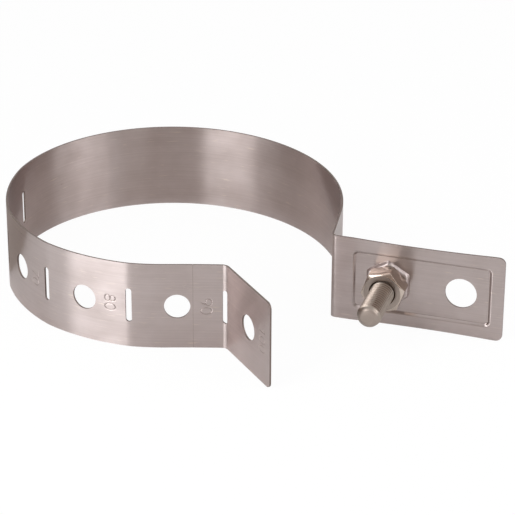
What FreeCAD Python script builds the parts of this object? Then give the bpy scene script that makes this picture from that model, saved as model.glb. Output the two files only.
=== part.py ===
"""Adjustable downpipe clamp: a folded stainless strip, a hexagon bolt and its nut.

Frame: millimetres, +Z along the pipe. The origin is on the axis of the ring, at the lower edge of the strip.
The flange lies along +X and its open face looks along -Y, the way the bolt's thread points.
"""
import FreeCAD, Part
import math
import os

import Sketcher

os.makedirs("parts", exist_ok=True)
doc = FreeCAD.newDocument("downpipe_clamp")
vector = FreeCAD.Vector

# Driving dimensions: alias, value in millimetres or degrees, what it is
DIMENSIONS = [
    ("strip_width", 30.0, "width of the strip, along the pipe"),
    ("strip_thickness", 0.6, "sheet thickness"),
    ("ring_radius", 55.0, "mid-sheet radius of the ring as it springs open"),
    ("ring_angle", 197.8, "angle of the ring"),
    ("shoulder_radius", 60.0, "mid-sheet radius between the ring and the leg"),
    ("shoulder_angle", 82.7, "angle of that flatter part"),
    ("leg_length", 17.9, "from the shoulder to the corner of the flange fold"),
    ("flange_fold_angle", 82.7, "turn of the flange fold"),
    ("flange_fold_radius", 1.2, "inside radius of the flange fold"),
    ("front_flat_length", 19.5, "from the ring to the corner of the flap fold"),
    ("flap_fold_angle", 63.2, "turn of the flap fold"),
    ("flap_fold_radius", 2.2, "inside radius of the flap fold"),
    ("pipe_step", 10.0, "step in pipe diameter from one fold slot to the next"),
    ("ring_slots", 4.0, "fold slots in the ring"),
    ("slot_width", 2.0, "width of a fold slot, along the strip"),
    ("slot_length", 12.0, "length of a fold slot, across the strip"),
    ("strip_hole", 8.5, "diameter of the holes midway between the fold slots"),
    ("flap_corner_radius", 2.0, "corners of the flap's free end"),
    ("flange_length", 57.8, "from the corner of the flange fold to the free edge"),
    ("flange_corner_radius", 2.2, "corners of the flange's free edge"),
    ("flange_waist", 0.45, "how far pressing the panel draws in each long edge"),
    ("panel_length", 46.8, "mouth of the pressed panel, along the flange"),
    ("panel_height", 21.3, "mouth of the pressed panel, across the flange"),
    ("panel_end_margin", 4.1, "from the panel to the flange's free edge"),
    ("panel_corner_radius", 2.0, "corners of the panel"),
    ("panel_depth", 0.8, "how far the panel is pressed back"),
    ("panel_wall_angle", 60.0, "lean of the panel's wall from square to the flange"),
    ("panel_edge_radius", 0.25, "rounding of the panel's edges"),
    ("boss_height", 1.2, "how far the hexagon is pressed forward out of the panel"),
    ("boss_wall", 0.35, "wall of the hexagon"),
    ("boss_corner_radius", 1.2, "rounding of the hexagon's six corners"),
    ("boss_edge_radius", 0.4, "rounding of the hexagon's front edge"),
    ("boss_hole", 8.5, "diameter of the hole through the hexagon for the bolt"),
    ("head_clearance", 0.2, "width of the hexagon pocket over the bolt head"),
    ("flange_hole", 10.5, "diameter of the free hole in the panel"),
    ("flange_hole_margin", 14.4, "from that hole's centre to the free edge"),
    ("bolt_inset", 12.0, "from the fold's end of the panel to the bolt's axis"),
    ("bolt_diameter", 8.0, "thread of the bolt, over its crests"),
    ("bolt_length", 25.0, "from under the head to the tip"),
    ("tip_chamfer", 0.8, "bevel of the bolt's tip"),
    ("hexagon_width", 13.0, "across the flats of bolt head and nut"),
    ("hexagon_bevel_angle", 30.0, "angle of the bevel on the hexagon's corners"),
    ("head_height", 5.3, "thickness of the bolt head"),
    ("nut_height", 6.5, "thickness of the nut"),
    ("nut_angle", 11.0, "how far the nut is turned from a corner along the flange"),
    ("thread_clearance", 0.05, "room around the bolt in the nut"),
    ("nut_countersink", 0.4, "bevel at the mouths of the nut"),
]
ALIASES = {alias for alias, value, meaning in DIMENSIONS}
OVERCUT = 4.0

sheet = doc.addObject("Spreadsheet::Sheet", "sizes")
for row, (alias, value, meaning) in enumerate(DIMENSIONS, start=1):
    sheet.set(f"A{row}", meaning)
    sheet.set(f"B{row}", str(value))
    sheet.setAlias(f"B{row}", alias)
doc.recompute()


def bound(text):
    """The text with every alias turned into a reference to its cell."""
    out = ""
    word = ""
    for letter in text + " ":
        if letter.isalnum() or letter == "_":
            word += letter
        else:
            out += f"sizes.{word}" if word in ALIASES else word
            out += letter
            word = ""
    return out.strip()


def value_of(text):
    """The number an expression of driving dimensions gives."""
    return float(sheet.evalExpression(bound(text)))


# Lengths and angles that follow from the driving dimensions, as expressions
HALF = "(strip_thickness / 2)"
FLANGE_BEND = f"(flange_fold_radius + {HALF})"
FLAP_BEND = f"(flap_fold_radius + {HALF})"
LEG_NORMAL = "(90 - flange_fold_angle)"
RING_START = f"({LEG_NORMAL} + shoulder_angle)"
RING_END = f"({RING_START} + ring_angle)"
FLAP_NORMAL = f"({RING_END} - flap_fold_angle)"
LEG_RUN = f"(leg_length - {FLANGE_BEND} * tan(flange_fold_angle / 2))"
FLAT_RUN = f"(front_flat_length - {FLAP_BEND} * tan(flap_fold_angle / 2))"
HALF_FOLD = f"({FLAP_BEND} * flap_fold_angle * pi / 360)"
PITCH = "(pipe_step * pi)"
PITCH_ANGLE = f"({PITCH} / ring_radius * 180 / pi)"
FLAP_RUN = f"({PITCH} - slot_width / 2 - {HALF_FOLD})"
FIRST_SLOT = f"({RING_END} - (ring_slots * {PITCH} - {FLAT_RUN} - {HALF_FOLD}) / ring_radius * 180 / pi)"
FIRST_HOLE = f"({FIRST_SLOT} + {PITCH_ANGLE} / 2)"

SHOULDER_X = f"((ring_radius - shoulder_radius) * cos({RING_START}))"
SHOULDER_Y = f"((ring_radius - shoulder_radius) * sin({RING_START}))"
CORNER_X = f"({SHOULDER_X} + shoulder_radius * cos({LEG_NORMAL}) + leg_length * sin({LEG_NORMAL}))"
FLANGE_MID = f"({SHOULDER_Y} + shoulder_radius * sin({LEG_NORMAL}) - leg_length * cos({LEG_NORMAL}))"
FLANGE_FRONT = f"({FLANGE_MID} - {HALF})"
FLANGE_BACK = f"({FLANGE_MID} + {HALF})"
FREE_EDGE = f"({CORNER_X} + flange_length)"
HOLE_X = f"({FREE_EDGE} - flange_hole_margin)"
PANEL_RIGHT = f"({FREE_EDGE} - panel_end_margin)"
PANEL_LEFT = f"({PANEL_RIGHT} - panel_length)"
BOLT_X = f"({PANEL_LEFT} + bolt_inset)"
PANEL_FRONT = f"({FLANGE_FRONT} + panel_depth)"
PANEL_BACK = f"({PANEL_FRONT} + strip_thickness)"
BACK_GROWTH = "(strip_thickness * tan((90 - panel_wall_angle) / 2))"
BOSS_FRONT = f"({PANEL_FRONT} - boss_height)"
BOSS_BACK = f"({BOSS_FRONT} + strip_thickness)"
MID = "(strip_width / 2)"
SLOT_LOW = f"({MID} - slot_length / 2 + slot_width / 2)"
SLOT_HIGH = f"({MID} + slot_length / 2 - slot_width / 2)"

FOLD_X = f"(ring_radius * cos({RING_END}) - {FLAT_RUN} * sin({RING_END}) + {FLAP_BEND} * cos({RING_END}))"
FOLD_Y = f"(ring_radius * sin({RING_END}) + {FLAT_RUN} * cos({RING_END}) + {FLAP_BEND} * sin({RING_END}))"
FOLD_NORMAL = f"({RING_END} - flap_fold_angle / 2)"

body = doc.addObject("PartDesign::Body", "clamp_strip")
body.Label = "clamp_strip"
PLANES = {feature.Role: feature for feature in body.Origin.OriginFeatures}


def new_sketch(name, plane, offset=None):
    """A sketch of the strip on an origin plane, moved by an expression."""
    sketch = body.newObject("Sketcher::SketchObject", name)
    sketch.AttachmentSupport = [(PLANES[plane], "")]
    sketch.MapMode = "FlatFace"
    if offset:
        sketch.setExpression("AttachmentOffset", bound(offset))
    return sketch


def upright(x, y, angle):
    """Offset of an upright plane through x, y whose normal points along the angle in plan."""
    return f"placement(vector({x}; 0; -({y})); rotation(vector(0; 1; 0); {angle} + 90))"


def dimension(sketch, name, text, *arguments):
    """A dimension of a sketch, bound to an expression."""
    kind = arguments[0]
    value = value_of(text)
    start = math.radians(value) if kind == "Angle" else value
    index = sketch.addConstraint(Sketcher.Constraint(*arguments, start))
    sketch.renameConstraint(index, name)
    sketch.setExpression(f"Constraints.{name}", bound(f"({text}) * 1 deg" if kind == "Angle" else text))


def join(sketch, kind, *arguments):
    """A geometric constraint of a sketch."""
    sketch.addConstraint(Sketcher.Constraint(kind, *arguments))


def heading(angle):
    """Unit vector at an angle in plan."""
    return vector(math.cos(math.radians(angle)), math.sin(math.radians(angle)), 0)


def arc(centre, radius, first, last):
    """Circular arc, counter-clockwise between two angles."""
    circle = Part.Circle(centre, vector(0, 0, 1), radius)
    return Part.ArcOfCircle(circle, math.radians(first), math.radians(last))


# Outline of the bent sheet in plan, from the flange round the ring to the flap
plan = new_sketch("bent_outline", "XY_Plane")
leg_normal = value_of(LEG_NORMAL)
ring_start = value_of(RING_START)
ring_end = value_of(RING_END)
flap_normal = value_of(FLAP_NORMAL)
half = value_of(HALF)
shoulder_centre = vector(value_of(SHOULDER_X), value_of(SHOULDER_Y), 0)
corner = vector(value_of(CORNER_X), value_of(FLANGE_MID), 0)
leg_start = shoulder_centre + heading(leg_normal) * value_of("shoulder_radius")
leg_end = leg_start - heading(leg_normal + 90) * value_of(LEG_RUN)
flange_bend = value_of(FLANGE_BEND)
flange_centre = leg_end + heading(leg_normal) * flange_bend
flap_bend = value_of(FLAP_BEND)
flap_centre = vector(value_of(FOLD_X), value_of(FOLD_Y), 0)

SIDES = {}
for side, shift in (("inner", -half), ("outer", half)):
    flange_y = corner.y + shift
    free_x = value_of(FREE_EDGE)
    flat_start = heading(ring_end) * (value_of("ring_radius") + shift)
    flat_end = flat_start + heading(ring_end + 90) * value_of(FLAT_RUN)
    flap_start = flap_centre - heading(flap_normal) * (flap_bend - shift)
    flap_end = flap_start + heading(flap_normal + 90) * value_of(FLAP_RUN)
    shifted = heading(leg_normal) * shift
    SIDES[side] = plan.addGeometry([
        Part.LineSegment(vector(free_x, flange_y, 0), vector(flange_centre.x, flange_y, 0)),
        arc(flange_centre, flange_bend - shift, leg_normal + 180, 270),
        Part.LineSegment(leg_end + shifted, leg_start + shifted),
        arc(shoulder_centre, value_of("shoulder_radius") + shift, leg_normal, ring_start),
        arc(vector(0, 0, 0), value_of("ring_radius") + shift, ring_start, ring_end),
        Part.LineSegment(flat_start, flat_end),
        arc(flap_centre, flap_bend - shift, flap_normal + 180, ring_end + 180),
        Part.LineSegment(flap_start, flap_end),
    ], False)
START, END, CENTRE = range(1, 4)
inner = SIDES["inner"]
outer = SIDES["outer"]
# Ends at which each edge is entered and left when the strip is followed from the flange
ENTRY = [START, END, START, START, START, START, END, START]
EXIT = [END, START, END, END, END, END, START, END]
for edges in (inner, outer):
    for index in range(len(edges) - 1):
        join(plan, "Tangent", edges[index], EXIT[index], edges[index + 1], ENTRY[index + 1])
flange_line, flange_arc, leg_line, shoulder_arc, ring_arc, flat_line, flap_arc, flap_line = range(8)
for index in (flange_arc, shoulder_arc, ring_arc, flap_arc):
    join(plan, "Coincident", inner[index], CENTRE, outer[index], CENTRE)
for index in (flange_line, leg_line, flat_line, flap_line):
    join(plan, "Parallel", inner[index], outer[index])
shape = plan.Geometry
CAPS = plan.addGeometry([
    Part.LineSegment(shape[inner[flange_line]].StartPoint, shape[outer[flange_line]].StartPoint),
    Part.LineSegment(shape[inner[flap_line]].EndPoint, shape[outer[flap_line]].EndPoint),
], False)
join(plan, "Coincident", CAPS[0], START, inner[flange_line], START)
join(plan, "Coincident", CAPS[0], END, outer[flange_line], START)
join(plan, "Coincident", CAPS[1], START, inner[flap_line], END)
join(plan, "Coincident", CAPS[1], END, outer[flap_line], END)
join(plan, "Perpendicular", CAPS[0], inner[flange_line])
join(plan, "Perpendicular", CAPS[1], inner[flap_line])
join(plan, "Coincident", inner[ring_arc], CENTRE, -1, 1)
join(plan, "Horizontal", inner[flange_line])
dimension(plan, "thickness", "strip_thickness", "Distance", CAPS[0])
dimension(plan, "flange_bend_radius", f"{FLANGE_BEND} + {HALF}", "Radius", inner[flange_arc])
dimension(plan, "shoulder_inside", f"shoulder_radius - {HALF}", "Radius", inner[shoulder_arc])
dimension(plan, "ring_inside", f"ring_radius - {HALF}", "Radius", inner[ring_arc])
dimension(plan, "flap_bend_radius", f"{FLAP_BEND} + {HALF}", "Radius", inner[flap_arc])
dimension(plan, "flange_turn", "flange_fold_angle", "Angle", inner[flange_arc])
dimension(plan, "shoulder_turn", "shoulder_angle", "Angle", inner[shoulder_arc])
dimension(plan, "ring_turn", "ring_angle", "Angle", inner[ring_arc])
dimension(plan, "flap_turn", "flap_fold_angle", "Angle", inner[flap_arc])
FLANGE_RUN = f"(flange_length - {FLANGE_BEND} * tan(flange_fold_angle / 2))"
dimension(plan, "flange_run", FLANGE_RUN, "Distance", inner[flange_line])
dimension(plan, "leg_run", LEG_RUN, "Distance", inner[leg_line])
dimension(plan, "flat_run", FLAT_RUN, "Distance", inner[flat_line])
dimension(plan, "flap_run", FLAP_RUN, "Distance", inner[flap_line])

strip = body.newObject("PartDesign::Pad", "strip")
strip.Profile = plan
strip.setExpression("Length", bound("strip_width"))


def circle_in(sketch, name, x, y, diameter):
    """A round hole in a sketch."""
    index = sketch.addGeometry(
        Part.Circle(vector(value_of(x), value_of(y), 0), vector(0, 0, 1), value_of(diameter) / 2), False)
    dimension(sketch, f"{name}_diameter", diameter, "Diameter", index)
    dimension(sketch, f"{name}_height", y, "DistanceY", -1, 1, index, CENTRE)
    if value_of(x) == 0:
        join(sketch, "PointOnObject", index, CENTRE, -2)
    else:
        dimension(sketch, f"{name}_along", x, "DistanceX", -1, 1, index, CENTRE)


def slot_in(sketch, name):
    """An upright slot with round ends, about the middle of the strip's width."""
    radius = value_of("slot_width / 2")
    low = value_of(SLOT_LOW)
    high = value_of(SLOT_HIGH)
    edges = sketch.addGeometry([
        Part.LineSegment(vector(radius, low, 0), vector(radius, high, 0)),
        arc(vector(0, high, 0), radius, 0, 180),
        Part.LineSegment(vector(-radius, high, 0), vector(-radius, low, 0)),
        arc(vector(0, low, 0), radius, 180, 360),
    ], False)
    right, top, left, bottom = edges
    join(sketch, "Tangent", right, END, top, START)
    join(sketch, "Tangent", top, END, left, START)
    join(sketch, "Tangent", left, END, bottom, START)
    join(sketch, "Tangent", bottom, END, right, START)
    join(sketch, "Vertical", right)
    join(sketch, "PointOnObject", top, CENTRE, -2)
    dimension(sketch, f"{name}_radius", "slot_width / 2", "Radius", top)
    dimension(sketch, f"{name}_low", SLOT_LOW, "DistanceY", -1, 1, bottom, CENTRE)
    dimension(sketch, f"{name}_high", SLOT_HIGH, "DistanceY", -1, 1, top, CENTRE)


def rectangle_in(sketch, left, right, low, high, radius):
    """A rectangle with round corners in a sketch."""
    x0, x1, y0, y1 = (value_of(text) for text in (left, right, low, high))
    r = value_of(radius)
    edges = sketch.addGeometry([
        Part.LineSegment(vector(x0 + r, y0, 0), vector(x1 - r, y0, 0)),
        arc(vector(x1 - r, y0 + r, 0), r, 270, 360),
        Part.LineSegment(vector(x1, y0 + r, 0), vector(x1, y1 - r, 0)),
        arc(vector(x1 - r, y1 - r, 0), r, 0, 90),
        Part.LineSegment(vector(x1 - r, y1, 0), vector(x0 + r, y1, 0)),
        arc(vector(x0 + r, y1 - r, 0), r, 90, 180),
        Part.LineSegment(vector(x0, y1 - r, 0), vector(x0, y0 + r, 0)),
        arc(vector(x0 + r, y0 + r, 0), r, 180, 270),
    ], False)
    for index, edge in enumerate(edges):
        join(sketch, "Tangent", edge, END, edges[(index + 1) % len(edges)], START)
    bottom, corner_a, side_a, corner_b, top, corner_c, side_b, corner_d = edges
    join(sketch, "Horizontal", bottom)
    join(sketch, "Horizontal", top)
    join(sketch, "Vertical", side_a)
    join(sketch, "Vertical", side_b)
    for other in (corner_b, corner_c, corner_d):
        join(sketch, "Equal", corner_a, other)
    dimension(sketch, "corner", radius, "Radius", corner_a)
    dimension(sketch, "low", low, "DistanceY", -1, 1, bottom, START)
    dimension(sketch, "high", high, "DistanceY", -1, 1, top, START)
    dimension(sketch, "left", left, "DistanceX", -1, 1, side_b, START)
    dimension(sketch, "right", right, "DistanceX", -1, 1, side_a, START)


def hexagon_in(sketch, x, y, width):
    """A hexagon in a sketch, with two flats upright."""
    centre = vector(value_of(x), value_of(y), 0)
    radius = value_of(f"{width} / 2 / cos(30)")
    corners = [centre + heading(30 + 60 * index) * radius for index in range(6)]
    edges = sketch.addGeometry(
        [Part.LineSegment(corners[index], corners[(index + 1) % 6]) for index in range(6)], False)
    ring = sketch.addGeometry(Part.Circle(centre, vector(0, 0, 1), radius), True)
    for index, edge in enumerate(edges):
        join(sketch, "Coincident", edge, END, edges[(index + 1) % 6], START)
        join(sketch, "PointOnObject", edge, START, ring)
    for edge in edges[1:]:
        join(sketch, "Equal", edges[0], edge)
    join(sketch, "Vertical", edges[5])
    dimension(sketch, "corner_circle", f"{width} / 2 / cos(30)", "Radius", ring)
    dimension(sketch, "along", x, "DistanceX", -1, 1, ring, CENTRE)
    dimension(sketch, "height", y, "DistanceY", -1, 1, ring, CENTRE)


def pocket(name, sketch, length, outward):
    """A cut from a sketch, along its normal when it goes outward."""
    cut = body.newObject("PartDesign::Pocket", name)
    cut.Profile = sketch
    cut.Reversed = outward
    cut.setExpression("Length", bound(length))
    return cut


def around(name, original, copies):
    """Copies of a cut round the pipe's axis, a pitch apart."""
    pattern = body.newObject("PartDesign::PolarPattern", name)
    pattern.Originals = [original]
    pattern.Axis = (PLANES["Z_Axis"], [""])
    pattern.setExpression("Occurrences", bound(copies))
    pattern.setExpression("Angle", bound(f"{PITCH_ANGLE} * ({copies} - 1)"))
    body.Tip = pattern
    return pattern


# Fold slots in the ring, and the holes midway between them
OUT_OF_RING = f"ring_radius + {OVERCUT}"
sketch = new_sketch("ring_slot_outline", "XZ_Plane", upright("0", "0", FIRST_SLOT))
slot_in(sketch, "slot")
around("ring_slots", pocket("ring_slot", sketch, OUT_OF_RING, True), "ring_slots")
sketch = new_sketch("ring_hole_outline", "XZ_Plane", upright("0", "0", FIRST_HOLE))
circle_in(sketch, "hole", "0", MID, "strip_hole")
around("ring_holes", pocket("ring_hole", sketch, OUT_OF_RING, True), "ring_slots - 1")

# Hole in the front flat, slot in the flap fold, hole in the flap
FLAT_HOLE = f"({FLAT_RUN} + {HALF_FOLD} - {PITCH} / 2)"
sketch = new_sketch("flat_hole_outline", "XZ_Plane", upright("0", "0", RING_END))
circle_in(sketch, "hole", FLAT_HOLE, MID, "strip_hole")
pocket("flat_hole", sketch, OUT_OF_RING, True)
DEEPER = f"({FLAP_BEND} + {OVERCUT})"
sketch = new_sketch("fold_slot_outline", "XZ_Plane", upright(FOLD_X, FOLD_Y, FOLD_NORMAL))
slot_in(sketch, "slot")
pocket("fold_slot", sketch, DEEPER, False)
sketch = new_sketch("flap_hole_outline", "XZ_Plane", upright(FOLD_X, FOLD_Y, FLAP_NORMAL))
circle_in(sketch, "hole", f"{PITCH} / 2 - {HALF_FOLD}", MID, "strip_hole")
pocket("flap_hole", sketch, DEEPER, False)

# Long edges of the flange, drawn in where the panel is pressed
FRONT_OFFSET = f"placement(vector(0; 0; -({FLANGE_FRONT} - {OVERCUT})); rotation(vector(0; 1; 0); 0))"
WAIST_RADIUS = "(panel_length ^ 2 / 8 / flange_waist + flange_waist / 2)"
for name, edge_height, sense in (("lower_waist", "0", 1), ("upper_waist", "strip_width", -1)):
    sketch = new_sketch(f"{name}_outline", "XZ_Plane", FRONT_OFFSET)
    x0 = value_of(PANEL_LEFT)
    x1 = value_of(PANEL_RIGHT)
    y0 = value_of(edge_height)
    radius = value_of(WAIST_RADIUS)
    spread = math.degrees(math.asin((x1 - x0) / 2 / radius))
    centre = vector((x0 + x1) / 2, y0 + sense * (value_of("flange_waist") - radius), 0)
    edges = sketch.addGeometry([
        Part.LineSegment(vector(x0, y0, 0), vector(x1, y0, 0)),
        arc(centre, radius, sense * 90 - spread, sense * 90 + spread),
    ], False)
    join(sketch, "Coincident", edges[0], START, edges[1], END if sense > 0 else START)
    join(sketch, "Coincident", edges[0], END, edges[1], START if sense > 0 else END)
    join(sketch, "Horizontal", edges[0])
    if value_of(edge_height) == 0:
        join(sketch, "PointOnObject", edges[0], START, -1)
    else:
        dimension(sketch, "edge", edge_height, "DistanceY", -1, 1, edges[0], START)
    dimension(sketch, "left", PANEL_LEFT, "DistanceX", -1, 1, edges[0], START)
    dimension(sketch, "right", PANEL_RIGHT, "DistanceX", -1, 1, edges[0], END)
    dimension(sketch, "curve", WAIST_RADIUS, "Radius", edges[1])
    pocket(name, sketch, f"2 * {OVERCUT}", False)


def flange_plane(y):
    """Offset of an upright plane across the flange at one depth."""
    return f"placement(vector(0; 0; -({y})); rotation(vector(0; 1; 0); 0))"


# Panel: the sheet grows at the back by what the front loses
PANEL_LOW = f"({MID} - panel_height / 2)"
PANEL_HIGH = f"({MID} + panel_height / 2)"
sketch = new_sketch("panel_back_outline", "XZ_Plane", flange_plane(FLANGE_BACK))
rectangle_in(sketch, f"{PANEL_LEFT} - {BACK_GROWTH}", f"{PANEL_RIGHT} + {BACK_GROWTH}",
             f"{PANEL_LOW} - {BACK_GROWTH}", f"{PANEL_HIGH} + {BACK_GROWTH}",
             f"panel_corner_radius + {BACK_GROWTH}")
panel_back = body.newObject("PartDesign::Pad", "panel_back")
panel_back.Profile = sketch
panel_back.Reversed = True
panel_back.setExpression("Length", bound("panel_depth"))
panel_back.setExpression("TaperAngle", bound("-panel_wall_angle"))
sketch = new_sketch("panel_outline", "XZ_Plane", flange_plane(FLANGE_FRONT))
rectangle_in(sketch, PANEL_LEFT, PANEL_RIGHT, PANEL_LOW, PANEL_HIGH, "panel_corner_radius")
panel = pocket("panel", sketch, "panel_depth", False)
panel.setExpression("TaperAngle", bound("-panel_wall_angle"))

# Hexagon pressed forward, its pocket at the back for the bolt head, and the holes of the panel
sketch = new_sketch("boss_outline", "XZ_Plane", flange_plane(PANEL_FRONT))
hexagon_in(sketch, BOLT_X, MID, "(hexagon_width + head_clearance + 2 * boss_wall)")
boss = body.newObject("PartDesign::Pad", "boss")
boss.Profile = sketch
boss.setExpression("Length", bound("boss_height"))
sketch = new_sketch("head_pocket_outline", "XZ_Plane", flange_plane(BOSS_BACK))
hexagon_in(sketch, BOLT_X, MID, "(hexagon_width + head_clearance)")
pocket("head_pocket", sketch, "panel_depth + boss_height", False)
sketch = new_sketch("flange_holes_outline", "XZ_Plane", flange_plane(f"{FLANGE_FRONT} - {OVERCUT}"))
circle_in(sketch, "boss_hole", BOLT_X, MID, "boss_hole")
circle_in(sketch, "free_hole", HOLE_X, MID, "flange_hole")
holes = pocket("flange_holes", sketch, f"2 * {OVERCUT}", False)


def rounded(name, base, radius, wanted):
    """Rounds the edges of the strip for which the test holds, given each edge's end points and middle."""
    doc.recompute()
    names = []
    for index, edge in enumerate(base.Shape.Edges, start=1):
        if len(edge.Vertexes) == 2:
            middle = edge.valueAt((edge.FirstParameter + edge.LastParameter) / 2)
            if wanted([edge.Vertexes[0].Point, edge.Vertexes[1].Point, middle]):
                names.append(f"Edge{index}")
    fillet = body.newObject("PartDesign::Fillet", name)
    fillet.Base = (base, names)
    fillet.setExpression("Radius", bound(radius))
    body.Tip = fillet
    return fillet


def near(number, target):
    """Whether two lengths are the same length."""
    return abs(number - target) < NEAR


NEAR = 0.01
width = value_of("strip_width")
free_edge = value_of(FREE_EDGE)
flange_front = value_of(FLANGE_FRONT)
flange_back = value_of(FLANGE_BACK)
panel_front = value_of(PANEL_FRONT)
panel_back_y = value_of(PANEL_BACK)
boss_front = value_of(BOSS_FRONT)
bolt_x = value_of(BOLT_X)
boss_reach = value_of("(hexagon_width + head_clearance + 2 * boss_wall) / 2 / cos(30)")
boss_flat = value_of("(hexagon_width + head_clearance + 2 * boss_wall) / 2")
flap_tip = flap_centre - heading(flap_normal) * flap_bend + heading(flap_normal + 90) * value_of(FLAP_RUN)


def at_corner(points):
    """Whether an edge lies through the sheet's thickness at a corner of the strip."""
    return all(near(point.z, 0) for point in points) or all(near(point.z, width) for point in points)


def on_panel(points):
    """Whether an edge runs round the panel, level with one of its faces."""
    if any(point.x < value_of(PANEL_LEFT) - 1 or point.x > value_of(PANEL_RIGHT) + 1 for point in points):
        return False
    if any(point.z < value_of(PANEL_LOW) - 1 or point.z > value_of(PANEL_HIGH) + 1 for point in points):
        return False
    middle = points[2]
    panel_middle = value_of(f"({PANEL_LEFT} + {PANEL_RIGHT}) / 2")
    outside = (abs(middle.x - panel_middle) > value_of("panel_length / 2 - panel_corner_radius")
               or abs(middle.z - width / 2) > value_of("panel_height / 2 - panel_corner_radius"))
    levels = (flange_front, panel_front, panel_back_y, flange_back)
    return outside and any(all(near(point.y, level) for point in points) for level in levels)


def reach_from_bolt(point):
    """Distance of a point from the bolt's axis."""
    return math.hypot(point.x - bolt_x, point.z - width / 2)


def at_boss_corner(points):
    """Whether an edge is one of the hexagon's six corners."""
    to_front = any(near(point.y, boss_front) for point in points)
    return to_front and all(near(reach_from_bolt(point), boss_reach) for point in points)


def on_boss_front(points):
    """Whether an edge bounds the front of the hexagon."""
    level = all(near(point.y, boss_front) for point in points)
    return level and min(reach_from_bolt(point) for point in points) > boss_flat - NEAR


corners = rounded("flange_corners", holes, "flange_corner_radius", lambda points: (
    at_corner(points) and all(near(point.x, free_edge) for point in points)))
corners = rounded("flap_corners", corners, "flap_corner_radius", lambda points: (
    at_corner(points) and all((vector(point.x, point.y, 0) - flap_tip).Length < 2 * half for point in points)))
corners = rounded("boss_corners", corners, "boss_corner_radius", at_boss_corner)
edges_round = rounded("boss_edges", corners, "boss_edge_radius", on_boss_front)
edges_round = rounded("panel_edges", edges_round, "panel_edge_radius", on_panel)


def along_thread(x, y, turn):
    """Placement whose own axis points along the bolt's thread, from one depth."""
    return (f"placement(vector({x}; {y}; {MID}); rotation(vector(1; 0; 0); 90)"
            f" * rotation(vector(0; 0; 1); {turn}))")


def primitive(kind, name, placement, **sizes):
    """A primitive solid with its sizes and place bound to the sheet."""
    solid = doc.addObject(kind, name)
    for prop, text in sizes.items():
        solid.setExpression(prop, bound(text))
    solid.setExpression("Placement", bound(placement))
    return solid


def combined(kind, name, base, tool):
    """A boolean of two solids."""
    result = doc.addObject(kind, name)
    result.Base = base
    result.Tool = tool
    return result


# Bolt: hexagon head with bevelled corners behind the flange, plain body for the thread, bevelled tip
CORNER_CIRCLE = "(hexagon_width / 2 / cos(30))"
BEVEL_START = "(hexagon_width / 2 - 0.3)"
HEAD_END = f"({BOSS_BACK} + head_height)"
TIP = f"({BOSS_BACK} - bolt_length)"
head_blank = primitive("Part::Prism", "head_blank", along_thread(BOLT_X, HEAD_END, "30"),
                       Circumradius=CORNER_CIRCLE, Height="head_height")
head_cone = primitive("Part::Cone", "head_cone", along_thread(BOLT_X, HEAD_END, "0"),
                      Radius1=BEVEL_START, Radius2=f"{BEVEL_START} + head_height / tan(hexagon_bevel_angle)",
                      Height="head_height")
head = combined("Part::Common", "head", head_blank, head_cone)
body_blank = primitive("Part::Cylinder", "body_blank", along_thread(BOLT_X, BOSS_BACK, "0"),
                       Radius="bolt_diameter / 2", Height="bolt_length - tip_chamfer")
tip_cone = primitive("Part::Cone", "tip_cone", along_thread(BOLT_X, f"({TIP} + tip_chamfer)", "0"),
                     Radius1="bolt_diameter / 2", Radius2="bolt_diameter / 2 - tip_chamfer",
                     Height="tip_chamfer")
shank = combined("Part::Fuse", "shank", body_blank, tip_cone)
bolt = combined("Part::Fuse", "hex_bolt", head, shank)

# Nut: hexagon bevelled on both faces, a bore with room for the thread, bevelled mouths
NUT_FRONT = f"({BOSS_FRONT} - nut_height)"
NUT_WIDE = f"{BEVEL_START} + nut_height / tan(hexagon_bevel_angle)"
NUT_BORE = "(bolt_diameter / 2 + thread_clearance)"
nut_blank = primitive("Part::Prism", "nut_blank", along_thread(BOLT_X, BOSS_FRONT, "nut_angle"),
                      Circumradius=CORNER_CIRCLE, Height="nut_height")
nut_back_cone = primitive("Part::Cone", "nut_back_cone", along_thread(BOLT_X, BOSS_FRONT, "0"),
                          Radius1=BEVEL_START, Radius2=NUT_WIDE, Height="nut_height")
nut_front_cone = primitive("Part::Cone", "nut_front_cone", along_thread(BOLT_X, BOSS_FRONT, "0"),
                           Radius1=NUT_WIDE, Radius2=BEVEL_START, Height="nut_height")
nut_back = combined("Part::Common", "nut_back", nut_blank, nut_back_cone)
nut_solid = combined("Part::Common", "nut_solid", nut_back, nut_front_cone)
nut_bore = primitive("Part::Cylinder", "nut_bore", along_thread(BOLT_X, BOSS_FRONT, "0"),
                     Radius=NUT_BORE, Height="nut_height")
mouth_back = primitive("Part::Cone", "mouth_back", along_thread(BOLT_X, BOSS_FRONT, "0"),
                       Radius1=f"{NUT_BORE} + nut_countersink", Radius2=NUT_BORE, Height="nut_countersink")
MOUTH_START = f"({NUT_FRONT} + nut_countersink)"
mouth_front = primitive("Part::Cone", "mouth_front", along_thread(BOLT_X, MOUTH_START, "0"),
                        Radius1=NUT_BORE, Radius2=f"{NUT_BORE} + nut_countersink", Height="nut_countersink")
bored = combined("Part::Cut", "bored", nut_solid, nut_bore)
bored = combined("Part::Cut", "bored_back", bored, mouth_back)
nut = combined("Part::Cut", "hex_nut", bored, mouth_front)

doc.recompute()
for item in doc.Objects:
    if "Invalid" in item.State or "Error" in item.State:
        raise RuntimeError(f"{item.Label}: {item.State}")
for part in (body, bolt, nut):
    if part.Shape.isNull() or not part.Shape.isValid():
        raise RuntimeError(f"{part.Label}: shape")
    part.Shape.exportStep(f"parts/{part.Label}.step")
    print(part.Label, len(part.Shape.Solids), round(part.Shape.Volume, 1), part.Shape.BoundBox)
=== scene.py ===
"""Adjustable downpipe clamp: the look of the folded strip, the bolt and the nut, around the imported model."""
import math

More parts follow.
